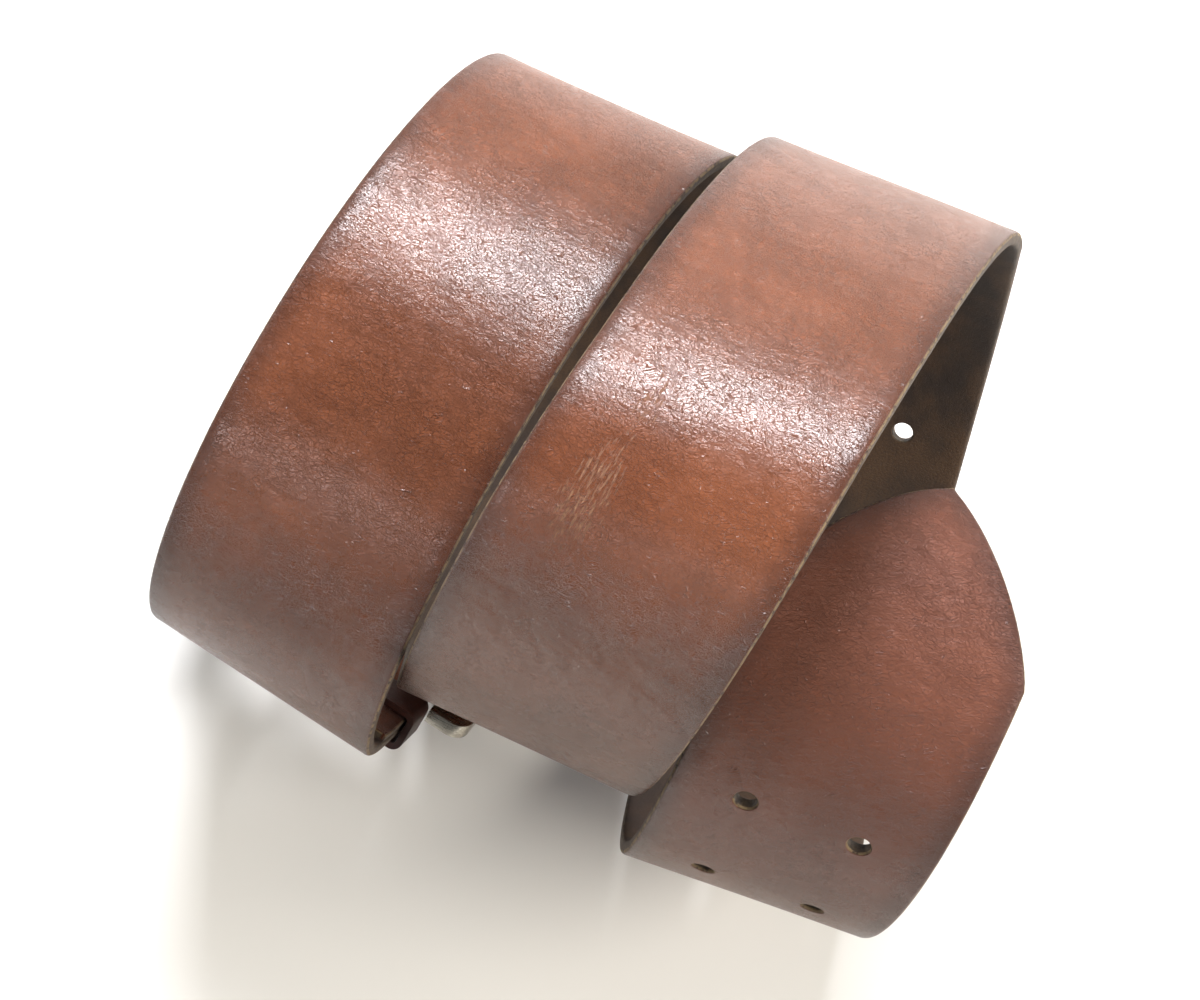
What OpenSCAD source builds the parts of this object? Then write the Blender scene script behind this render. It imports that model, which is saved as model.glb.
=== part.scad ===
// A wide leather belt wound into a loose coil that lies on its side, with a two-prong buckle.
// X runs along the coil's axis, Y away from the tip's side, Z is up, and the coil stands on z = 0.

/* [Strap] */
// Width of the strap
strap_w = 57; // [50:1:62]
// Thickness of the strap
strap_t = 3.2; // [2.6:0.1:3.6]
// Length of the strap from the fold at the buckle to the tip
strap_length = 1116; // [1080:1:1140]
// Rounding of the burnished edges
edge_round = 0.8; // [0.4:0.1:1.1]
// Length of the pointed tip
tip_length = 36; // [28:1:43]

/* [Holes] */
// Number of pairs of holes
hole_pairs = 7; // [3:1:7]
// Distance from one pair to the next along the strap
hole_pitch = 35; // [25:1:38]
// Distance between the two holes of a pair
hole_spread = 25; // [18:0.5:30]
// Distance from the tip's point to the first pair
hole_start = 82; // [68:1:94]
// Diameter of a hole
hole_d = 5; // [4:0.1:6]

/* [Coil] */
// Width across the coil over the first top arc
arc_1 = 147; // [140:1:155]
// Width across the coil under the first bottom arc
under_1 = 136; // [130:1:140]
// Width across the coil over the second top arc
arc_2 = 141; // [137:1:150]
// Width across the coil under the second bottom arc
under_2 = 151; // [148:1:158]
// Width across the coil over the third top arc, which the tip ends
arc_3 = 110; // [105:1:125]
// Height of the first top arc above what the coil lies on
top_1 = 132; // [126:1:138]
// Height of the second top arc
top_2 = 173; // [165:1:180]
// Height of the third top arc
top_3 = 136; // [130:1:140]
// How square the settled undersides are: 2 is an ellipse
settle = 2.2; // [2:0.05:2.4]

/* [Buckle end] */
// Lean of the strap's buckle end from the vertical, in degrees
end_lean = 25; // [18:1:26]
// Turn of the strap's buckle end about the vertical, in degrees
end_turn = 9; // [5:1:10]
// Radius of the bend above the straight end
end_bend_r = 45; // [42:1:70]
// Straight length from the bend to the heel bar
end_straight = 27; // [24:0.5:28]
// Length that is folded back behind the heel bar
fold_back = 38; // [36:1:43]
// Thickness of the folded-back end, which is skived
skive_t = 2; // [1.6:0.1:2.4]

/* [Buckle] */
// Diameter of the heel bar
bar_d = 4.8; // [4:0.1:5.6]
// Gap between the strap's edge and the frame on each side
window_gap = 2.5; // [2.5:0.1:3]
// Width of the frame's sides
frame_side = 10; // [7:0.5:11]
// Distance from the heel bar to the frame's far edge
frame_reach = 41; // [38:0.5:48]
// How far the frame's corners stand behind the heel bar
frame_heel = 8; // [4.6:0.1:8.5]
// Thickness of the frame
frame_t = 4; // [3:0.1:5]
// Diameter of a prong
prong_d = 3.8; // [3:0.1:4.4]

/* [Keeper] */
// Length of the keeper along the strap
keeper_l = 12; // [9:0.5:14]
// Thickness of the keeper's leather
keeper_t = 1.6; // [1.2:0.1:2]
// Room under the keeper for the tip
keeper_room = 1; // [0.8:0.1:1.6]
// Distance from the heel bar to the middle of the keeper
keeper_at = 16; // [15.5:0.5:17]

/* [Rivets] */
// Distance between the two rivets
rivet_spread = 30; // [20:1:38]
// Diameter of a rivet's head
rivet_head_d = 9; // [7:0.5:10]
// Diameter of a rivet's post
rivet_post_d = 3.4; // [2.6:0.1:4]

/* [Hidden] */

leather = "#8a5240";
leather_dark = "#5a3428";
nickel = "#b9b7b0";
steel = "#9c9c9c";

// The coil's stations are where the strap passes its near and far sides, one each half turn.
// Their places across the coil, along its axis, and their heights
side_y = [0, arc_1, arc_1 - under_1, arc_1 - under_1 + arc_2,
          arc_1 - under_1 + arc_2 - under_2, arc_1 - under_1 + arc_2 - under_2 + arc_3];
side_x = [0, 22.5, 57, 87, 116, 120];
side_z = [73.5, 83, 87, 90, 65.5, 82.5];
// How far the strap's cross line leans outward at its +X edge, each quarter turn
under_lean = 0.1;
flare = [tan(end_turn), 0.05, -0.02, 0, 0.02, 0.15, 0, -under_lean, -0.08, -0.08, -0.1];
half_turns = 5;
half = strap_w / 2;
// The height that each arc reaches; every second one lies on the surface, flat or on one edge
arc_z = [top_1, strap_t / 2, top_2, strap_t / 2 + half * under_lean, top_3];
// How far each arc's highest point leans from the middle towards the side where the arc starts
arc_skew = [5, 0, 15, 0, 0];

function unit(v) = v / norm(v);
function sign_pow(v, p) = sign(v) * pow(abs(v), p);
// A smooth curve through the stations, level at both ends; q counts half turns
function station(v, q) =
    let (i = min(floor(q), half_turns - 1), t = q - i,
         m0 = i == 0 ? 0 : (v[i + 1] - v[i - 1]) / 2,
         m1 = i + 1 == half_turns ? 0 : (v[i + 2] - v[i]) / 2)
    (2 * t ^ 3 - 3 * t ^ 2 + 1) * v[i] + (t ^ 3 - 2 * t ^ 2 + t) * m0
    + (3 * t ^ 2 - 2 * t ^ 3) * v[i + 1] + (t ^ 3 - t ^ 2) * m1;
function between(v, q) = let (i = min(floor(q), len(v) - 2)) v[i] + (v[i + 1] - v[i]) * (q - i);

// The coil's centreline at an angle from the first near side; even half turns pass over the top
function coil(a) =
    let (k = min(floor(a / 180), half_turns - 1), f = a - 180 * k,
         p = k % 2 == 1 ? 2 / settle : 1, g = f + arc_skew[k] * sin(f),
         side = side_z[k] + (side_z[k + 1] - side_z[k]) * (1 - cos(f)) / 2)
    [station(side_x, a / 180),
     (side_y[k] + side_y[k + 1]) / 2 + (side_y[k] - side_y[k + 1]) / 2 * sign_pow(cos(f), p),
     side + (arc_z[k] - side) * sign_pow(sin(g), p)];

// Arc length along the coil against angle, both ways
coil_step = 1.5;
coil_angles = [for (a = [0:coil_step:180 * half_turns]) a];
coil_lengths = [for (i = 0, s = 0; i < len(coil_angles);
                     s = s + (i + 1 < len(coil_angles)
                              ? norm(coil(coil_angles[i + 1]) - coil(coil_angles[i])) : 0),
                     i = i + 1) s];
length_to_angle = [for (i = [0:len(coil_angles) - 1]) [coil_lengths[i], coil_angles[i]]];
function angle_at(s) = lookup(s, length_to_angle);

// A place on the strap: [centre, direction, outward normal, cross direction towards +X]
function coil_place(s) =
    let (a = angle_at(s), e = 0.2,
         d = unit(coil(min(a + e, 180 * half_turns)) - coil(max(a - e, 0))),
         line = [1, 0, 0] + between(flare, a / 90) * unit([0, -d[2], d[1]]),
         n = unit(cross(line, d)))
    [coil(a), d, n, cross(d, n)];

// The buckle end lies in one plane: "across" is the strap's width, "inward" is level
across = [cos(end_turn), -sin(end_turn), 0];
inward = [sin(end_turn), cos(end_turn), 0];
down = [0, 0, -1];
end_dir = sin(end_lean) * inward + cos(end_lean) * down;
end_out = -cos(end_lean) * inward + sin(end_lean) * down;
bend_end = coil(0) + end_bend_r * ((1 - cos(end_lean)) * inward + sin(end_lean) * down);
bend_length = end_bend_r * end_lean * PI / 180;

// The fold: the heel bar lies against the flesh side of the strap with a small clearance
bar_clear = 0.25;
fold_in_r = bar_d / 2 + bar_clear;
fold_r = fold_in_r + strap_t / 2;
bar_pos = bend_end + end_straight * end_dir - fold_r * end_out;
layer_gap = 0.2;
fold_close = 9;
function ease(t) = let (u = max(0, min(1, t))) u * u * (3 - 2 * u);

// How far the inner layer stands behind the outer one, at a distance d above the heel bar
function layer_step(d) =
    (strap_t + skive_t) / 2 + layer_gap + (2 * fold_in_r - layer_gap) * (1 - ease(d / fold_close));
// A place on the straight end or on the bend above it, d above the heel bar
function end_place(d) =
    d <= end_straight
    ? [bend_end + (end_straight - d) * end_dir, -end_dir, end_out, across]
    : let (f = end_lean - (d - end_straight) / end_bend_r * 180 / PI)
      [coil(0) + end_bend_r * ((1 - cos(f)) * inward + sin(f) * down),
       -(sin(f) * inward + cos(f) * down), -cos(f) * inward + sin(f) * down, across];
function inner_place(d) =
    let (p = end_place(d)) [p[0] - layer_step(d) * p[2], p[1], p[2], across];
// The strap's thickness and place round the heel bar, from the inner layer (f = 180) to the outer
function fold_t(f) = strap_t + (skive_t - strap_t) * f / 180;
function fold_place(f) =
    let (out = cos(f) * end_out + sin(f) * end_dir)
    [bar_pos + (fold_in_r + fold_t(f) / 2) * out, -sin(f) * end_out + cos(f) * end_dir, out, across];

// Lengths along the strap, counted up from the coil's first near side
tip_s = strap_length - end_straight - bend_length;
function hole_s(i) = tip_s - hole_start - i * hole_pitch;
function tip_half(u) =
    half * pow(1 - pow(1 - min(1, u / tip_length), 1.2), 1 / 1.25);

// One ring of the strap: its outline at a place, out is +1 where the grain side is outside
function ring(p, half, out = 1, t = strap_t) =
    let (h = t / 2, r = min(edge_round, half / 2))
    [for (c = [[-half, -h + r], [-half, h - r], [-half + r, h], [half - r, h],
               [half, h - r], [half, -h + r], [half - r, -h], [-half + r, -h]])
        p[0] + c[0] * p[3] + out * c[1] * p[2]];

ring_step = 6.5;
tip_rings = 12;
fold_count = ceil((fold_back - 0.01) / 3);
end_count = ceil((end_straight + bend_length) / 4);
coil_count = ceil((tip_s - tip_length) / ring_step);
strap_rings = concat(
    [for (i = [0:fold_count]) ring(inner_place(fold_back * (1 - i / fold_count)), half, -1, skive_t)],
    [for (f = [165:-15:15]) ring(fold_place(f), half, 1, fold_t(f))],
    [for (i = [0:end_count - 1]) ring(end_place((end_straight + bend_length) * i / end_count), half)],
    [for (i = [0:coil_count - 1]) ring(coil_place((tip_s - tip_length) * i / coil_count), half)],
    [for (i = [0:tip_rings]) let (u = tip_length * pow(1 - i / (tip_rings + 0.6), 2))
        ring(coil_place(tip_s - u), tip_half(u))]);

// The frame leans until its far edge is just above the surface that the belt lies on
lowest = min([for (r = strap_rings) each [for (p = r) p[2]]]);
rest_gap = 0.3;
frame_lean = acos((bar_pos[2] - lowest - rest_gap) / norm([frame_reach, frame_t / 2]))
             + atan(frame_t / 2 / frame_reach);
frame_dir = sin(frame_lean) * inward + cos(frame_lean) * down;
frame_out = -cos(frame_lean) * inward + sin(frame_lean) * down;
frame_half = half + window_gap + frame_side;
// The whole belt is moved so that its middle stands over the origin, on z = 0
frame_corners = [for (x = [-frame_half, frame_half], y = [-frame_reach, frame_heel])
                 bar_pos + x * across - y * frame_dir];
outline = concat([for (r = strap_rings) each r], frame_corners);
xs = [for (p = outline) p[0]];
ys = [for (p = outline) p[1]];
middle = [(min(xs) + max(xs)) / 2, (min(ys) + max(ys)) / 2, lowest];

// Puts its children at a place: x across the strap, y up along it, z out of the grain side
module at(p) {
    multmatrix([for (i = [0:2]) [p[3][i], p[1][i], p[2][i], p[0][i] - middle[i]]]) children();
}
bar_place = [bar_pos, -end_dir, end_out, across];
frame_place = [bar_pos, -frame_dir, frame_out, across];
module both_sides() {
    children();
    mirror([1, 0, 0]) children();
}

cut = 0.5;
prong_w = 4;
slot_w = prong_w + 1;
slot_up = 8.5;
prong_x = hole_spread / 2;

// One closed skin through all the rings, its triangles laid the same way on both sides
module swept(rings) {
    n = len(rings[0]);
    m = len(rings);
    polyhedron(
        points = [for (r = rings) each [for (p = r) p - middle]],
        faces = concat(
            [[for (j = [0:n - 1]) j]],
            [for (i = [0:m - 2], j = [0:n - 1])
                let (a = i * n + j, b = a + n, c = (i + 1) * n + (j + 1) % n, d = c - n)
                each (j < n / 2 ? [[a, b, c], [a, c, d]] : [[a, b, d], [b, c, d]])],
            [[for (j = [n - 1:-1:0]) (m - 1) * n + j]]));
}

module strap() {
    color(leather)
    difference() {
        swept(strap_rings);
        for (i = [0:hole_pairs - 1])
            at(coil_place(hole_s(i)))
                for (x = [-1, 1])
                    translate([x * hole_spread / 2, 0, 0])
                        cylinder(d = hole_d, h = strap_t + 4 * cut, center = true, $fn = 32);
        at(bar_place)
            linear_extrude(height = 4 * fold_r, center = true)
                for (x = [-prong_x, prong_x])
                    translate([x, 0]) {
                        translate([-slot_w / 2, -2 * fold_r])
                            square([slot_w, slot_up - slot_w / 2 + 2 * fold_r]);
                        translate([0, slot_up - slot_w / 2]) circle(d = slot_w, $fn = 32);
                    }
        at(rivet_place)
            both_sides()
                translate([rivet_spread / 2, 0, -rivet_grip - cut])
                    cylinder(d = rivet_post_d, h = rivet_grip + strap_t, $fn = 32);
    }
}

// A plate with separate corner radii at its far end (-y) and its heel end (+y)
module plate(x, y0, y1, r_far, r_heel) {
    translate([-x, y0 + r_far]) square([2 * x, y1 - y0 - r_far - r_heel]);
    translate([-x + r_far, y0]) square([2 * (x - r_far), r_far]);
    translate([-x + r_heel, y1 - r_heel]) square([2 * (x - r_heel), r_heel]);
    for (side = [-1, 1]) {
        translate([side * (x - r_far), y0 + r_far]) circle(r = r_far, $fn = 64);
        translate([side * (x - r_heel), y1 - r_heel]) circle(r = r_heel, $fn = 64);
    }
}

far_bar = 8;
far_corner = 11;
heel_corner = 4.4;
window_corner = 3.5;
tenon_d = 2.4;
tenon_l = 5;
module buckle_frame() {
    window = half + window_gap;
    color(nickel)
    at(frame_place)
    difference() {
        linear_extrude(height = frame_t, center = true)
        difference() {
            plate(frame_half, -frame_reach, frame_heel, far_corner, heel_corner);
            translate([-window, -frame_reach + far_bar + window_corner])
                square([2 * window, frame_reach + frame_heel]);
            translate([-window + window_corner, -frame_reach + far_bar])
                square([2 * (window - window_corner), frame_reach]);
            for (side = [-1, 1])
                translate([side * (window - window_corner), -frame_reach + far_bar + window_corner])
                    circle(r = window_corner, $fn = 32);
        }
        rotate([0, 90, 0])
            cylinder(d = tenon_d, h = 2 * (window + tenon_l), center = true, $fn = 32);
    }
}

module heel_bar() {
    window = half + window_gap;
    color(steel)
    at(frame_place)
    rotate([0, 90, 0]) {
        cylinder(d = bar_d, h = 2 * window, center = true, $fn = 48);
        cylinder(d = tenon_d, h = 2 * (window + tenon_l), center = true, $fn = 32);
    }
}

// A prong: an eye round the heel bar and a shank that lies on the frame's far bar
eye_gap = 0.06;
eye_wall = 1.5;
prong_root = [0, -3.2, 1.9];
prong_point = [0, far_bar / 2 - frame_reach, frame_t / 2 + prong_d / 2 + 0.4];
module prong(x) {
    reach = prong_point - prong_root;
    color(steel)
    at(frame_place)
    translate([x, 0, 0])
    difference() {
        union() {
            rotate([0, 90, 0])
                cylinder(r = bar_d / 2 + eye_gap + eye_wall, h = prong_w, center = true, $fn = 48);
            translate(prong_root)
                rotate([atan2(-reach[1], reach[2]), 0, 0]) {
                    cylinder(d = prong_d, h = norm(reach), $fn = 32);
                    translate([0, 0, norm(reach)]) sphere(d = prong_d, $fn = 32);
                }
        }
        rotate([0, 90, 0])
            cylinder(r = bar_d / 2 + eye_gap, h = prong_w + 2 * cut, center = true, $fn = 48);
    }
}
module prong_left() prong(-prong_x);
module prong_right() prong(prong_x);

// The keeper is a band of leather round both layers, its ends stapled together behind
keeper_place = end_place(keeper_at);
keeper_half = half + 0.8;
keeper_front = strap_t / 2 + keeper_room;
keeper_behind = strap_t / 2 + layer_gap + skive_t + 0.7;
keeper_corner = 1;
staple_d = 1;
staple_w = 8;
module keeper_loop() {
    r = keeper_corner + keeper_t;
    color(leather_dark)
    at(keeper_place)
    difference() {
        rotate([90, 0, 0])
            linear_extrude(height = keeper_l, center = true)
            difference() {
                plate(keeper_half + keeper_t, -keeper_behind - keeper_t, keeper_front + keeper_t, r, r);
                plate(keeper_half, -keeper_behind, keeper_front, keeper_corner, keeper_corner);
            }
        both_sides()
            translate([staple_w / 2, 0, -keeper_behind - keeper_t - cut])
                cylinder(d = staple_d, h = keeper_t + 2 * cut, $fn = 24);
    }
}
module keeper_staple() {
    color(steel)
    at(keeper_place)
    translate([0, 0, -keeper_behind - keeper_t]) {
        translate([0, 0, -staple_d / 2])
            rotate([0, 90, 0])
                cylinder(d = staple_d, h = staple_w + staple_d, center = true, $fn = 24);
        both_sides()
            translate([staple_w / 2, 0, -staple_d / 2])
                cylinder(d = staple_d, h = keeper_t + staple_d / 2, $fn = 24);
    }
}

// Two rivets hold the folded end: a post from the flesh side and a cap on the grain side
rivet_place = end_place(fold_back - 7);
rivet_grip = strap_t / 2 + layer_gap + skive_t;
rivet_head_h = 1;
rivet_cap_h = 1.4;
module rivet_posts() {
    color(steel)
    at(rivet_place)
    both_sides()
    translate([rivet_spread / 2, 0, -rivet_grip]) {
        translate([0, 0, -rivet_head_h])
            cylinder(d1 = rivet_head_d - 2.4, d2 = rivet_head_d - 1, h = rivet_head_h, $fn = 48);
        cylinder(d = rivet_post_d, h = rivet_grip + strap_t / 2 + rivet_cap_h / 2, $fn = 32);
    }
}
module rivet_caps() {
    color(nickel)
    at(rivet_place)
    both_sides()
    translate([rivet_spread / 2, 0, strap_t / 2])
    difference() {
        cylinder(d1 = rivet_head_d, d2 = rivet_head_d - 3, h = rivet_cap_h, $fn = 48);
        translate([0, 0, -cut])
            cylinder(d = rivet_post_d, h = rivet_cap_h / 2 + cut, $fn = 32);
    }
}

strap();
buckle_frame();
heel_bar();
prong_left();
prong_right();
keeper_loop();
keeper_staple();
rivet_posts();
rivet_caps();
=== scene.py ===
"""A wide leather belt wound into a loose coil, with its buckle, keeper and rivets."""
import math

import bpy
import numpy as np
from mathutils import Matrix, Vector, noise


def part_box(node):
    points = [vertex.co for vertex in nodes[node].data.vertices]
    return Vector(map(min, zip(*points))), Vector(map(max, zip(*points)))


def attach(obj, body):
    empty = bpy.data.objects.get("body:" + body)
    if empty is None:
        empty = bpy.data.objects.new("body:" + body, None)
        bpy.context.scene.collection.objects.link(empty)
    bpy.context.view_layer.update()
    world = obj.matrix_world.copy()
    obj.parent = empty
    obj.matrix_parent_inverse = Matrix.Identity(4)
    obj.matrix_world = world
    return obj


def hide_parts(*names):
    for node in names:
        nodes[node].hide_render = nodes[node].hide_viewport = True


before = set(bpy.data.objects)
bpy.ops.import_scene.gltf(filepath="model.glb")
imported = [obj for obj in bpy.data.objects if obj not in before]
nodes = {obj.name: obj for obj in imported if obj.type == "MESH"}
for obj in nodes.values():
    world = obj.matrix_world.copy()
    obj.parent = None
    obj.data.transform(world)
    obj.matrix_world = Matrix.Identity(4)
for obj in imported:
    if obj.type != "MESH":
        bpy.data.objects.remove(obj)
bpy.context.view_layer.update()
scene = bpy.context.scene
MM = 0.001

# ---------------------------------------------------------------- the strap's pattern, in mm
STRAP_W, STRAP_T, STRAP_LENGTH = 57.0, 3.2, 1116.0
EDGE_ROUND, TIP_LENGTH = 0.8, 36.0
HOLE_PAIRS, HOLE_PITCH, HOLE_SPREAD, HOLE_START, HOLE_D = 7, 35.0, 25.0, 82.0, 5.0
HALF = STRAP_W / 2

# The coil: the width across each half turn, the heights it reaches, and how it settles
ARC_1, UNDER_1, ARC_2, UNDER_2, ARC_3 = 147.0, 136.0, 141.0, 151.0, 110.0
UNDER_LEAN = 0.1
SETTLE = 2.2
SIDE_Y = np.cumsum([0, ARC_1, -UNDER_1, ARC_2, -UNDER_2, ARC_3])
SIDE_X = np.array([0, 22.5, 57, 87, 116, 120])
SIDE_Z = np.array([73.5, 83, 87, 90, 65.5, 82.5])
ARC_Z = np.array([132, STRAP_T / 2, 173, STRAP_T / 2 + HALF * UNDER_LEAN, 136])
ARC_SKEW = np.radians([5, 0, 15, 0, 0])
HALF_TURNS = 5

# The buckle end: straight, folded round the heel bar and skived thin
END_LEAN, END_TURN, END_BEND_R, END_STRAIGHT = math.radians(25), math.radians(9), 45.0, 27.0
FOLD_BACK, SKIVE_T, BAR_D, BAR_CLEAR, LAYER_GAP, FOLD_CLOSE = 38.0, 2.0, 4.8, 0.25, 0.2, 9.0
FLARE = np.array([math.tan(END_TURN), 0.05, -0.02, 0, 0.02, 0.15, 0, -UNDER_LEAN, -0.08, -0.08, -0.1])
ACROSS = np.array([math.cos(END_TURN), -math.sin(END_TURN), 0])
INWARD = np.array([math.sin(END_TURN), math.cos(END_TURN), 0])
DOWN = np.array([0, 0, -1.0])
BEND_LENGTH = END_BEND_R * END_LEAN
FOLD_IN_R = BAR_D / 2 + BAR_CLEAR
FOLD_ARC = math.pi * (FOLD_IN_R + (STRAP_T + SKIVE_T) / 4)

# Lengths along the strap are counted from the coil's first near side, down to the fold below zero
TIP_S = STRAP_LENGTH - END_STRAIGHT - BEND_LENGTH
BAR_S = -(END_STRAIGHT + BEND_LENGTH)
FOLD_S = BAR_S - FOLD_ARC
END_S = FOLD_S - FOLD_BACK


def unit(v):
    return v / np.linalg.norm(v, axis=-1, keepdims=True)


def station(v, k, t):
    """A smooth curve through the stations v, level at both ends."""
    after, before = v[np.minimum(k + 2, len(v) - 1)], v[np.maximum(k - 1, 0)]
    m0 = np.where(k == 0, 0, (v[k + 1] - before) / 2)
    m1 = np.where(k + 1 == HALF_TURNS, 0, (after - v[k]) / 2)
    return ((2 * t**3 - 3 * t**2 + 1) * v[k] + (t**3 - 2 * t**2 + t) * m0
            + (3 * t**2 - 2 * t**3) * v[k + 1] + (t**3 - t**2) * m1)


def coil(angle):
    """The coil's centreline at angles in degrees from the first near side."""
    k = np.minimum(angle // 180, HALF_TURNS - 1).astype(int)
    f = np.radians(angle - 180 * k)
    power = np.where(k % 2 == 1, 2 / SETTLE, 1.0)
    side = SIDE_Z[k] + (SIDE_Z[k + 1] - SIDE_Z[k]) * (1 - np.cos(f)) / 2
    swing = np.sign(np.cos(f)) * np.abs(np.cos(f)) ** power
    lift = np.abs(np.sin(f + ARC_SKEW[k] * np.sin(f))) ** power
    return np.stack([
        station(SIDE_X, k, angle / 180 - k),
        (SIDE_Y[k] + SIDE_Y[k + 1]) / 2 + (SIDE_Y[k] - SIDE_Y[k + 1]) / 2 * swing,
        side + (ARC_Z[k] - side) * lift], -1)


COIL_END = 180.0 * HALF_TURNS
coil_angles = np.arange(0, COIL_END + 0.1, 1.5)
coil_lengths = np.concatenate([[0], np.cumsum(np.linalg.norm(np.diff(coil(coil_angles), axis=0), axis=1))])


def length_at(angle):
    """The length along the strap at a coil angle in degrees."""
    return float(np.interp(angle, coil_angles, coil_lengths))


def coil_place(s):
    """Centre, outward normal and cross direction where the strap is wound."""
    a = np.interp(s, coil_lengths, coil_angles)
    step = 0.2
    d = unit(coil(np.minimum(a + step, COIL_END)) - coil(np.maximum(a - step, 0)))
    flare = np.interp(a / 90, np.arange(len(FLARE)), FLARE)
    zero = np.zeros(len(a))
    out = unit(np.stack([zero, -d[:, 2], d[:, 1]], -1))
    line = np.array([1.0, 0, 0]) + flare[:, None] * out
    n = unit(np.cross(line, d))
    return coil(a), n, np.cross(d, n)


def end_place(d):
    """Centre and normal on the buckle end, d above the heel bar."""
    f = np.clip(END_LEAN - (d - END_STRAIGHT) / END_BEND_R, 0, END_LEAN)[:, None]
    drop = np.maximum(END_STRAIGHT - d, 0)[:, None]
    run = np.sin(END_LEAN) * INWARD + np.cos(END_LEAN) * DOWN
    centre = coil(np.zeros(1)) + END_BEND_R * ((1 - np.cos(f)) * INWARD + np.sin(f) * DOWN) + drop * run
    return centre, -np.cos(f) * INWARD + np.sin(f) * DOWN


def layer_step(d):
    u = np.clip(d / FOLD_CLOSE, 0, 1)
    open_up = 1 - u * u * (3 - 2 * u)
    return (STRAP_T + SKIVE_T) / 2 + LAYER_GAP + (2 * FOLD_IN_R - LAYER_GAP) * open_up


END_RUN = np.sin(END_LEAN) * INWARD + np.cos(END_LEAN) * DOWN
END_OUT = -np.cos(END_LEAN) * INWARD + np.sin(END_LEAN) * DOWN
BAR_POS = end_place(np.zeros(1))[0][0] - (FOLD_IN_R + STRAP_T / 2) * END_OUT


def fold_place(f):
    """Centre and normal round the heel bar, from the outer layer (0) to the inner one (pi)."""
    out = np.cos(f)[:, None] * END_OUT + np.sin(f)[:, None] * END_RUN
    thick = STRAP_T + (SKIVE_T - STRAP_T) * f / math.pi
    return BAR_POS + (FOLD_IN_R + thick / 2)[:, None] * out, out


def wind(s, w, h):
    """Carries points of the flat strap (length, across, height above its middle) onto the coil."""
    point = np.zeros((len(s), 3))
    here = s >= 0
    centre, n, cross = coil_place(s[here])
    point[here] = centre + w[here, None] * cross + h[here, None] * n
    here = (s < 0) & (s >= BAR_S)
    centre, n = end_place(s[here] - BAR_S)
    point[here] = centre + w[here, None] * ACROSS + h[here, None] * n
    here = (s < BAR_S) & (s >= FOLD_S)
    f = (BAR_S - s[here]) / FOLD_ARC * math.pi
    centre, n = fold_place(f)
    thin = 1 + (SKIVE_T / STRAP_T - 1) * f / math.pi
    point[here] = centre + w[here, None] * ACROSS + (h[here] * thin)[:, None] * n
    here = s < FOLD_S
    d = FOLD_S - s[here]
    centre, n = end_place(d)
    thin = SKIVE_T / STRAP_T
    point[here] = centre - (layer_step(d) + h[here] * thin)[:, None] * n + w[here, None] * ACROSS
    return point


def tip_half(u):
    """Half the strap's width at a distance u from the tip's point."""
    return HALF * (1 - (1 - np.clip(u / TIP_LENGTH, 0, 1)) ** 1.2) ** 0.8


# ---------------------------------------------------------------- modelling helpers
def only(*objs):
    """Selects these objects and nothing else; the first is active."""
    if bpy.context.mode != "OBJECT":
        bpy.ops.object.mode_set(mode="OBJECT")
    bpy.ops.object.select_all(action="DESELECT")
    for o in objs:
        o.select_set(True)
    bpy.context.view_layer.objects.active = objs[0]


def added(name):
    """Names the object that was just added."""
    o = bpy.context.object
    o.name = o.data.name = name
    return o


def apply_place(o):
    only(o)
    bpy.ops.object.transform_apply(location=True, rotation=True, scale=True)


def modify(o, kind, **settings):
    only(o)
    mod = o.modifiers.new(kind.lower(), kind)
    for key, value in settings.items():
        setattr(mod, key, value)
    bpy.ops.object.modifier_apply(modifier=mod.name)


def smooth(o, degrees):
    only(o)
    bpy.ops.object.shade_smooth_by_angle(angle=math.radians(degrees))


def verts(o):
    co = np.zeros(len(o.data.vertices) * 3)
    o.data.vertices.foreach_get("co", co)
    return co.reshape(-1, 3)


def set_verts(o, co):
    o.data.vertices.foreach_set("co", np.ascontiguousarray(co).ravel())
    o.data.update()


def edit(o, select_mode="FACE"):
    only(o)
    bpy.ops.object.mode_set(mode="EDIT")
    bpy.ops.mesh.select_mode(type=select_mode)
    bpy.ops.mesh.select_all(action="DESELECT")
    bpy.ops.object.mode_set(mode="OBJECT")


def done_editing():
    bpy.ops.object.mode_set(mode="OBJECT")


# ---------------------------------------------------------------- the strap
def stations():
    """Where the strap's columns stand: close together round the fold and towards the point."""
    tip_from = TIP_S - TIP_LENGTH
    tip_columns = 30
    near_point = TIP_LENGTH * (1 - np.arange(1, tip_columns + 1) / (tip_columns + 0.8)) ** 1.7
    return np.concatenate([
        np.linspace(END_S, FOLD_S, 20)[:-1],
        np.linspace(FOLD_S, BAR_S, 26)[:-1],
        np.linspace(BAR_S, 0, 28)[:-1],
        np.linspace(0, tip_from, 590),
        TIP_S - near_point])


def rows():
    """Where the strap's rows stand across it, from -1 to 1: close together at the rounded edges."""
    edge = np.array([1, 1 - 0.08 / HALF, 1 - 0.3 / HALF, 1 - 0.8 / HALF])
    inner = np.linspace(edge[-1], -edge[-1], 31)[1:-1]
    return -np.concatenate([edge, inner, -edge[::-1]])


def half_width(s):
    return tip_half(TIP_S - s)


def rim_distance(s, w):
    """How far a point of the flat strap is from its nearest edge."""
    step = 0.02
    slope = (half_width(s - step) - half_width(s + step)) / (2 * step)
    return (half_width(s) - np.abs(w)) / np.sqrt(1 + slope**2)


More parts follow.
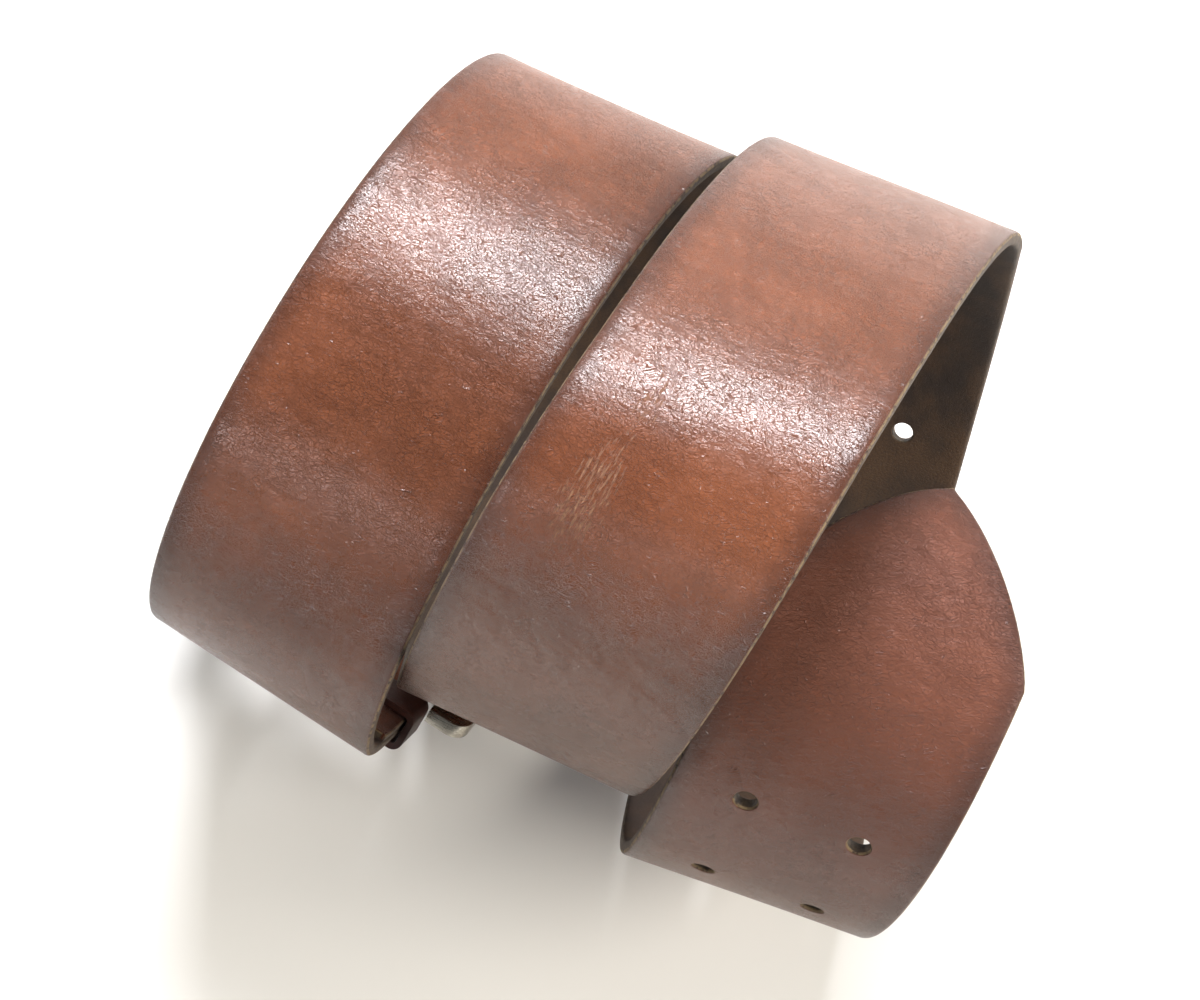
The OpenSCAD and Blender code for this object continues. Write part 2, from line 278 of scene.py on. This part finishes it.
def flat_strap():
    """The strap before it is wound: a slab with rounded edges and a pointed tip."""
    columns, across = stations(), rows()
    bpy.ops.mesh.primitive_grid_add(
        x_subdivisions=len(columns) - 1, y_subdivisions=len(across) - 1, size=1)
    o = added("strap_leather")
    co = verts(o)
    col = np.rint((co[:, 0] + 0.5) * (len(columns) - 1)).astype(int)
    row = np.rint((co[:, 1] + 0.5) * (len(across) - 1)).astype(int)
    s = columns[col]
    set_verts(o, np.stack([s, across[row] * half_width(s), np.zeros(len(s))], -1))
    modify(o, "SOLIDIFY", thickness=STRAP_T, offset=0)
    co = verts(o)
    s, w, h = co.T
    r = np.minimum(EDGE_ROUND, half_width(s) / 2)
    q = np.clip(rim_distance(s, w), 0, r)
    drop = r - np.sqrt(np.maximum(r**2 - (r - q) ** 2, 0))
    co[:, 2] = np.sign(h) * (STRAP_T / 2 - drop)
    set_verts(o, co)
    return o


def punch():
    """A round punch whose hole opens slightly at both faces."""
    lip, flare = 0.35, 1.13
    bpy.ops.mesh.primitive_cylinder_add(vertices=40, radius=HOLE_D / 2, depth=STRAP_T - 2 * lip)
    o = added("punch")
    for side in (1, -1):
        edit(o)
        for p in o.data.polygons:
            p.select = p.normal.z * side > 0.9
        bpy.ops.object.mode_set(mode="EDIT")
        bpy.ops.mesh.extrude_region_move(TRANSFORM_OT_translate={"value": (0, 0, side * lip)})
        bpy.ops.transform.resize(value=(flare, flare, 1))
        bpy.ops.mesh.extrude_region_move(TRANSFORM_OT_translate={"value": (0, 0, side * 2)})
        done_editing()
    return o


def slot_cutter(length, width):
    """A slot with round ends, for a prong to pass through the fold."""
    bpy.ops.mesh.primitive_cube_add(size=1, scale=(length, width, 3 * STRAP_T))
    o = added("slot_cutter")
    apply_place(o)
    edit(o, "EDGE")
    for e in o.data.edges:
        a, b = (o.data.vertices[i].co for i in e.vertices)
        e.select = abs(a.z - b.z) > STRAP_T
    bpy.ops.object.mode_set(mode="EDIT")
    bpy.ops.mesh.bevel(offset=width / 2 * 0.98, segments=8)
    done_editing()
    return o


def copies(o, places):
    """Copies of one object, each with its own mesh, at these places."""
    made = []
    for place in places:
        c = o.copy()
        c.data = o.data.copy()
        scene.collection.objects.link(c)
        c.location = place
        made.append(c)
    bpy.data.objects.remove(o)
    return made


def cut(o, cutters):
    only(*cutters)
    bpy.ops.object.join()
    tool = bpy.context.object
    apply_place(tool)
    modify(o, "BOOLEAN", object=tool, operation="DIFFERENCE", solver="EXACT")
    bpy.data.objects.remove(tool)


def ripple(s, w):
    """The gentle unevenness of an old strap, with a few cross wrinkles near the tip, in mm."""
    near_tip = math.exp(-(((TIP_S - s - 30) / 26) ** 2))
    long_wave = 0.22 * noise.noise(Vector((s / 34, w / 60, 3.1)))
    cross_wave = 0.07 * noise.noise(Vector((s / 6.5, w / 26, 8.4)))
    wrinkle = 0.16 * near_tip * noise.noise(Vector(((s + 0.55 * w) / 3.6, (w - 0.5 * s) / 22, 5.7)))
    return long_wave + cross_wave + wrinkle


def strap():
    """The punched strap, wound on the coil where the CAD strap lies."""
    o = flat_strap()
    hole_s = [TIP_S - HOLE_START - i * HOLE_PITCH for i in range(HOLE_PAIRS)]
    holes = copies(punch(), [(s, x * HOLE_SPREAD / 2, 0) for s in hole_s for x in (-1, 1)])
    slot_up, slot_w = 8.5, 5.0
    middle_of_fold = (BAR_S + FOLD_S) / 2
    slots = copies(slot_cutter(2 * slot_up + FOLD_ARC, slot_w),
                   [(middle_of_fold, x * HOLE_SPREAD / 2, 0) for x in (-1, 1)])
    cut(o, holes)
    cut(o, slots)
    s, w, h = verts(o).T
    rim = rim_distance(s, w)
    for name, kind, data in (("flat", "FLOAT_VECTOR", np.stack([s, w, h / (STRAP_T / 2)], -1)),
                             ("rim", "FLOAT", rim)):
        layer = o.data.attributes.new(name, kind, "POINT")
        layer.data.foreach_set("vector" if kind == "FLOAT_VECTOR" else "value",
                               np.ascontiguousarray(data, dtype=np.float32).ravel())
    fade = np.clip((s - BAR_S) / 30, 0, 1)
    waves = np.array([ripple(a, b) for a, b in zip(s, w)]) * fade
    co = wind(s, w, h + waves)
    straight = wind(s, w, h)
    shift = np.array(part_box("strap")[0]) - straight.min(0) * MM
    set_verts(o, co * MM + shift)
    smooth(o, 42)
    return o, shift


leather_strap, place_shift = strap()


def strap_frame(s, w=0.0, h=0.0):
    """A matrix at a point of the strap: x across it, z out of its grain side, in metres."""
    one = np.array([s])
    p = wind(one, np.array([w]), np.array([h]))[0]
    x = wind(one, np.array([w + 1]), np.array([h]))[0] - p
    z = wind(one, np.array([w]), np.array([h + 1]))[0] - p
    x, z = Vector(x).normalized(), Vector(z).normalized()
    y = z.cross(x)
    m = Matrix((x, y, z)).transposed().to_4x4()
    m.translation = Vector(p) * MM + Vector(place_shift)
    return m


# ---------------------------------------------------------------- the hardware and the keeper
def finished(node, name, edge, segments=3):
    """A CAD piece with its doubles merged and its edges rounded."""
    o = nodes[node].copy()
    o.data = nodes[node].data.copy()
    o.parent = None
    for key in list(o.keys()):
        del o[key]
    o.name = o.data.name = name
    scene.collection.objects.link(o)
    only(o)
    bpy.ops.object.mode_set(mode="EDIT")
    bpy.ops.mesh.select_all(action="SELECT")
    bpy.ops.mesh.remove_doubles(threshold=1e-6)
    bpy.ops.mesh.dissolve_limited(angle_limit=math.radians(1))
    bpy.ops.object.mode_set(mode="OBJECT")
    modify(o, "BEVEL", width=edge * MM, segments=segments, limit_method="ANGLE",
           angle_limit=math.radians(40), use_clamp_overlap=True)
    smooth(o, 35)
    return o


def rivet_caps():
    """Two domed caps on the grain side."""
    made = []
    cap_r, cap_h, spread, up = 4.5, 1.4, 30.0, FOLD_BACK - 7
    for side in (-1, 1):
        bpy.ops.mesh.primitive_uv_sphere_add(segments=48, ring_count=24, radius=cap_r * MM)
        o = added("rivet_cap")
        only(o)
        bpy.ops.object.mode_set(mode="EDIT")
        bpy.ops.mesh.select_all(action="SELECT")
        bpy.ops.mesh.bisect(plane_co=(0, 0, 0), plane_no=(0, 0, 1), use_fill=True, clear_inner=True)
        bpy.ops.object.mode_set(mode="OBJECT")
        o.scale = (1, 1, cap_h / cap_r)
        apply_place(o)
        o.data.transform(strap_frame(BAR_S + up, side * spread / 2, STRAP_T / 2))
        made.append(o)
    only(*made)
    bpy.ops.object.join()
    o = added("rivet_domes")
    smooth(o, 50)
    return o


buckle = finished("buckle_frame", "buckle_cast", 1.1, 4)
bar = finished("heel_bar", "bar_steel", 0.3)
prongs = [finished(f"prong_{side}", f"prong_{side}_steel", 0.45) for side in ("left", "right")]
keeper = finished("keeper_loop", "keeper_leather", 0.4)
staple = finished("keeper_staple", "staple_wire", 0.2)
posts = finished("rivet_posts", "rivet_post_heads", 0.25)
domes = rivet_caps()


# ---------------------------------------------------------------- materials
class Finish:
    """A material's node tree, written as calls."""

    def __init__(self, name):
        self.material = bpy.data.materials.new(name)
        self.material.use_nodes = True
        self.tree = self.material.node_tree
        self.shader = self.tree.nodes["Principled BSDF"]

    def node(self, kind, inputs=(), **settings):
        made = self.tree.nodes.new("ShaderNode" + kind)
        for key, value in settings.items():
            setattr(made, key, value)
        for key, value in dict(inputs).items():
            self.put(made.inputs[key], value)
        return made

    def put(self, socket, value):
        if isinstance(value, bpy.types.NodeSocket):
            self.tree.links.new(value, socket)
        else:
            socket.default_value = value

    def math(self, operation, a, b=0.0, c=0.0):
        return self.node("Math", {0: a, 1: b, 2: c}, operation=operation).outputs[0]

    def spread(self, value, low, high, to_low=0.0, to_high=1.0):
        """A smooth step of a value from one range to another."""
        made = self.node("MapRange", {"Value": value, "From Min": low, "From Max": high,
                                      "To Min": to_low, "To Max": to_high},
                         interpolation_type="SMOOTHSTEP")
        return made.outputs["Result"]

    def stretch(self, vector, x, y, z=0.0):
        return self.node("VectorMath", {0: vector, 1: (x, y, z)}, operation="MULTIPLY").outputs[0]

    def noise(self, vector, scale=1.0, detail=3.0, rough=0.55, twist=0.0):
        made = self.node("TexNoise", {"Vector": vector, "Scale": scale, "Detail": detail,
                                      "Roughness": rough, "Distortion": twist})
        return made.outputs["Fac"]

    def mix(self, amount, a, b):
        made = self.node("Mix", data_type="RGBA")
        for socket, value in zip((made.inputs[0], made.inputs[6], made.inputs[7]), (amount, a, b)):
            self.put(socket, value)
        return made.outputs[2]

    def bump(self, height, distance, strength=1.0, under=None):
        inputs = {"Height": height, "Distance": distance, "Strength": strength}
        if under is not None:
            inputs["Normal"] = under
        return self.node("Bump", inputs).outputs[0]

    def finish(self, **sockets):
        for key, value in sockets.items():
            self.put(self.shader.inputs[key.replace("_", " ")], value)
        return self.material


def colour(red, green, blue):
    """A colour given as it looks on screen, from 0 to 255."""
    return tuple(((c / 255 + 0.055) / 1.055) ** 2.4 for c in (red, green, blue)) + (1.0,)


def patch(f, s, w, at, half_size):
    """1 in the middle of an oval patch of the flat strap, and 0 outside it."""
    along = f.math("DIVIDE", f.math("SUBTRACT", s, at[0]), half_size[0])
    aside = f.math("DIVIDE", f.math("SUBTRACT", w, at[1]), half_size[1])
    square = f.math("ADD", f.math("MULTIPLY", along, along), f.math("MULTIPLY", aside, aside))
    return f.spread(square, 1.0, 0.1)


def strap_finish():
    f = Finish("strap_leather")
    flat = f.node("Attribute", attribute_name="flat").outputs["Vector"]
    parts = f.node("SeparateXYZ", {"Vector": flat}).outputs
    s, w, h = parts[0], parts[1], parts[2]
    rim = f.node("Attribute", attribute_name="rim").outputs["Fac"]

    # The grain's colour: uneven dye, brushed across, darker at the burnished edges and the tip
    cloud = f.noise(f.stretch(flat, 1 / 45, 1 / 30), detail=4)
    brushed = f.noise(f.stretch(flat, 1 / 1.1, 1 / 16), detail=5, rough=0.65)
    grain = f.mix(f.spread(cloud, 0.3, 0.72), colour(132, 76, 48), colour(143, 84, 54))
    grain = f.mix(f.spread(brushed, 0.3, 0.75, 0, 0.28), grain, colour(110, 58, 37))
    tip_dark = f.spread(s, length_at(640), length_at(760), 0, 0.6)
    grain = f.mix(tip_dark, grain, colour(112, 58, 39))
    edge_dark = f.math("MULTIPLY", f.spread(rim, 7.5, 0.2, 0, 0.62), f.spread(cloud, 0.2, 0.6, 0.7, 1))
    grain = f.mix(edge_dark, grain, colour(66, 37, 28))

    # The cracks of the grain: a net of cells that are wider across the strap than along it, with painted shade
    # in them
    wander = f.noise(f.stretch(flat, 1 / 7, 1 / 7), detail=2)
    bent = f.node("VectorMath", {0: f.stretch(flat, 1 / 0.9, 1 / 2.1),
                                 1: f.node("CombineXYZ", {0: f.math("MULTIPLY", wander, 5.0),
                                                          1: f.math("MULTIPLY", wander, 2.0)}).outputs[0]},
                  operation="ADD").outputs[0]
    fine = f.node("TexVoronoi", {"Vector": bent, "Randomness": 1.0},
                  feature="DISTANCE_TO_EDGE").outputs["Distance"]
    wide = f.node("TexVoronoi", {"Vector": f.stretch(bent, 0.32, 0.3), "Randomness": 1.0},
                  feature="DISTANCE_TO_EDGE").outputs["Distance"]
    worn = f.spread(f.noise(f.stretch(flat, 1 / 26, 1 / 22), detail=2), 0.36, 0.62, 0.55, 1)
    fine_crack = f.spread(fine, 0.09, 0.0)
    wide_crack = f.spread(wide, 0.05, 0.0)
    # Painted shade in the cracks: the fine and wide cracks darken the grain colour, more strongly where the
    # worn mask is high
    grain = f.mix(f.math("MULTIPLY", f.math("MULTIPLY", fine_crack, worn), 0.3), grain, colour(70, 38, 29))
    grain = f.mix(f.math("MULTIPLY", f.math("MULTIPLY", wide_crack, worn), 0.4), grain, colour(58, 30, 24))

    # Scuffs: tan where the dye is rubbed off
    rubbed = f.noise(f.stretch(flat, 1 / 3.4, 1 / 0.55), detail=4, rough=0.7)
    speck = f.noise(f.stretch(flat, 1 / 1.3, 1 / 1.5), detail=2)
    scuff = 0.0
    for angle, aside, along, across, depth in (
            (424, -13, 20, 7.5, 0.7), (442, -12, 14, 5, 0.6), (510, 8, 7, 5, 0.35), (524, 17, 5, 4, 0.4),
            (475, 5, 9, 3, 0.3), (140, 6, 6, 5, 0.35), (70, 12, 8, 3, 0.3), (745, 3, 4, 5, 0.35)):
        mark = f.math("MULTIPLY", patch(f, s, w, (length_at(angle), aside), (along, across)), depth)
        scuff = f.math("MAXIMUM", scuff, mark)
    scratched = f.spread(f.math("ADD", rubbed, f.math("MULTIPLY", scuff, 0.42)), 0.78, 0.92)
    scratched = f.math("MULTIPLY", scratched, f.spread(scuff, 0.02, 0.2))
    flecks = f.spread(speck, 0.795, 0.83, 0, 0.55)
    grain = f.mix(f.math("MAXIMUM", f.math("MULTIPLY", scratched, 0.6), flecks), grain, colour(196, 146, 108))

    # The flesh side and the cut edge
    fibre = f.noise(f.stretch(flat, 1 / 0.5, 1 / 0.7, 1), detail=5, rough=0.7)
    stain = f.noise(f.stretch(flat, 1 / 22, 1 / 16), detail=3)
    flesh = f.mix(f.spread(stain, 0.35, 0.68), colour(52, 37, 28), colour(92, 66, 42))
    flesh = f.mix(f.spread(fibre, 0.35, 0.75, 0, 0.55), flesh, colour(38, 27, 22))
    nick = f.noise(f.stretch(flat, 1 / 1.6, 1 / 1.6, 1.2), detail=4, rough=0.7)
    corner = f.mix(f.spread(nick, 0.46, 0.62), colour(150, 126, 92), colour(58, 42, 32))
    wall = f.mix(f.spread(nick, 0.35, 0.65), colour(92, 76, 56), colour(48, 35, 27))
    cut_edge = f.mix(f.spread(h, 0.45, 0.62), wall, corner)
    is_flesh = f.spread(h, -0.2, -0.6)
    body = f.mix(is_flesh, grain, flesh)
    on_wall = f.math("MULTIPLY", f.spread(h, 0.97, 0.86), f.spread(h, -0.97, -0.86))
    at_rim = f.spread(rim, 0.42, 0.2)
    in_hole = f.math("MULTIPLY", on_wall, f.spread(rim, 0.8, 1.2))
    is_edge = f.math("MAXIMUM", f.math("MULTIPLY", at_rim, 0.9), in_hole)
    body = f.mix(is_edge, body, cut_edge)

    # Gloss: waxed grain, duller in the cracks, the scuffs and on the back
    sheen = f.noise(f.stretch(flat, 1 / 12, 1 / 9), detail=4)
    rough = f.spread(sheen, 0.25, 0.75, 0.25, 0.29)
    rough = f.math("ADD", rough, f.math("MULTIPLY", fine_crack, 0.12))
    rough = f.math("ADD", rough, f.spread(s, TIP_S - 90, TIP_S - 45, 0, 0.22))
    dull = f.math("MAXIMUM", f.math("MAXIMUM", is_flesh, is_edge), scratched)
    rough = f.math("ADD", rough, f.math("MULTIPLY", dull, 0.42))

    # Relief: cracks, pebbles, fine wrinkles that slant near the tip
    pebble = f.noise(f.stretch(flat, 1 / 0.7, 1 / 1.0), detail=3, rough=0.6)
    crease = f.noise(f.stretch(flat, 1 / 1.8, 1 / 9), detail=4, rough=0.6, twist=0.4)
    turned = f.node("VectorRotate", {"Vector": flat, "Angle": math.radians(24)},
                    rotation_type="Z_AXIS").outputs[0]
    slant = f.noise(f.stretch(turned, 1 / 2.2, 1 / 13), detail=3, rough=0.5)
    near_tip = f.spread(s, TIP_S - 110, TIP_S - 55)
    on_grain = f.math("MULTIPLY", f.spread(h, 0.4, 0.9), worn)
    normal = f.bump(f.math("MULTIPLY", f.math("ADD", f.math("MULTIPLY", fine_crack, -1.0),
                                              f.math("MULTIPLY", wide_crack, -1.3)), on_grain),
                    0.12 * MM, 1.0)
    normal = f.bump(f.math("ADD", f.math("MULTIPLY", pebble, 0.45), crease), 0.11 * MM, 0.8, normal)
    normal = f.bump(f.math("MULTIPLY", slant, near_tip), 0.5 * MM, 0.8, normal)
    normal = f.bump(f.math("MULTIPLY", fibre, dull), 0.35 * MM, 0.9, normal)
    return f.finish(Base_Color=body, Roughness=rough, Normal=normal, Specular_IOR_Level=0.68)


def keeper_finish():
    f = Finish("keeper_leather")
    at = f.node("TexCoord").outputs["Object"]
    cloud = f.noise(at, 90, 4)
    grain = f.mix(f.spread(cloud, 0.35, 0.7), colour(58, 30, 23), colour(88, 45, 32))
    pore = f.node("TexVoronoi", {"Vector": at, "Scale": 1100.0}, feature="DISTANCE_TO_EDGE").outputs["Distance"]
    crack = f.spread(pore, 0.12, 0.0)
    # Painted shade in the cracks between the pores: they darken the keeper's colour as well as its relief
    body = f.mix(f.math("MULTIPLY", crack, 0.5), grain, colour(34, 19, 16))
    normal = f.bump(crack, -0.05 * MM, 0.9)
    normal = f.bump(f.noise(at, 700, 4, 0.6), 0.12 * MM, 0.8, normal)
    return f.finish(Base_Color=body, Roughness=f.spread(cloud, 0.3, 0.7, 0.38, 0.55), Normal=normal,
                    Specular_IOR_Level=0.5)


def metal_finish(name, bright, dark, rough, brush):
    """Plated metal: worn bright and tarnished dark in patches, with fine brushed lines."""
    f = Finish(name)
    at = f.node("TexCoord").outputs["Object"]
    tarnish = f.noise(at, 120, 5, 0.6, 0.3)
    lines = f.noise(f.stretch(at, *brush), 1.0, 4, 0.6)
    body = f.mix(f.spread(tarnish, 0.42, 0.72), bright, dark)
    gloss = f.math("ADD", f.spread(lines, 0.3, 0.7, rough - 0.05, rough + 0.08),
                   f.spread(tarnish, 0.45, 0.8, 0, 0.12))
    normal = f.bump(lines, 0.02 * MM, 0.6)
    normal = f.bump(f.noise(at, 900, 3), 0.02 * MM, 0.6, normal)
    return f.finish(Base_Color=body, Roughness=gloss, Normal=normal, Metallic=1.0)


def dress(o, material):
    o.data.materials.clear()
    o.data.materials.append(material)


leather = strap_finish()
dark_leather = keeper_finish()
nickel = metal_finish("nickel_plate", colour(186, 180, 168), colour(118, 108, 98), 0.27, (300, 2200, 2200))
steel = metal_finish("satin_steel", colour(176, 174, 170), colour(112, 106, 100), 0.3, (2200, 500, 500))

dress(leather_strap, leather)
dress(keeper, dark_leather)
for piece in (buckle, domes):
    dress(piece, nickel)
for piece in (bar, staple, posts, *prongs):
    dress(piece, steel)

# ---------------------------------------------------------------- what rides where
RIDES = (
    (leather_strap, "strap", "strap", "leather"),
    (posts, "strap", "rivet_posts", "steel"),
    (domes, "strap", "rivet_caps", "nickel"),
    (buckle, "buckle", "buckle_frame", "nickel"),
    (bar, "buckle", "heel_bar", "steel"),
    (prongs[0], "left_prong", "prong_left", "steel"),
    (prongs[1], "right_prong", "prong_right", "steel"),
    (keeper, "keeper", "keeper_loop", "dark_leather"),
    (staple, "keeper", "keeper_staple", "steel"),
)
for piece, body, node, slot in RIDES:
    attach(piece, body)
    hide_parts(node)

# ---------------------------------------------------------------- floor, light and camera
def table():
    bpy.ops.mesh.primitive_plane_add(size=6)
    o = added("table")
    f = Finish("table_paper")
    at = f.node("TexCoord").outputs["Object"]
    body = f.mix(f.noise(at, 3, 2), colour(250, 248, 243), colour(246, 243, 236))
    dress(o, f.finish(Base_Color=body, Roughness=0.9))


def softbox(name, direction, distance, size, power, tint=(1, 1, 1)):
    """A rectangular light that faces the coil from a direction."""
    top_of_coil = Vector((0, 0, 0.12))
    data = bpy.data.lights.new(name, "AREA")
    data.shape = "RECTANGLE"
    data.size, data.size_y = size
    data.energy = power
    data.color = tint
    o = bpy.data.objects.new(name, data)
    scene.collection.objects.link(o)
    back = Vector(direction).normalized()
    o.location = top_of_coil + back * distance
    o.rotation_euler = back.to_track_quat("Z", "Y").to_euler()


def camera():
    """The camera looks almost straight down on the coil."""
    azimuth, elevation, distance = math.radians(23.72), math.radians(81.07), 0.610
    target = Vector((51.7, 66.8, 74.6)) * MM + Vector(place_shift)
    back = Vector((math.sin(azimuth) * math.cos(elevation), -math.cos(azimuth) * math.cos(elevation),
                   math.sin(elevation)))
    right = Vector((math.cos(azimuth), math.sin(azimuth), 0))
    data = bpy.data.cameras.new("camera")
    data.sensor_width = 36
    data.lens = 81.81
    data.clip_start = 0.05
    o = bpy.data.objects.new("camera", data)
    scene.collection.objects.link(o)
    turn = Matrix((right, back.cross(right), back)).transposed().to_4x4()
    turn.translation = target + distance * back
    o.matrix_world = turn
    scene.camera = o


table()
softbox("window", (-0.24, 0.69, 0.71), 1.1, (0.40, 0.36), 23, (0.92, 0.94, 1.0))
softbox("near_side", (-0.42, -0.54, 0.80), 1.1, (0.24, 0.20), 1.5, (0.93, 0.96, 1.0))
softbox("right_side", (1.0, 0.15, 0.72), 1.5, (0.8, 0.8), 26, (1.0, 0.955, 0.88))
softbox("left_side", (-1.0, 0.1, 0.8), 1.6, (0.7, 0.7), 5, (1.0, 0.98, 0.95))
camera()

world = bpy.data.worlds.new("room")
world.use_nodes = True
room = world.node_tree.nodes["Background"]
room.inputs["Color"].default_value = (0.95, 0.97, 1.0, 1)
room.inputs["Strength"].default_value = 0.10
scene.world = world
scene.view_settings.view_transform = "Standard"
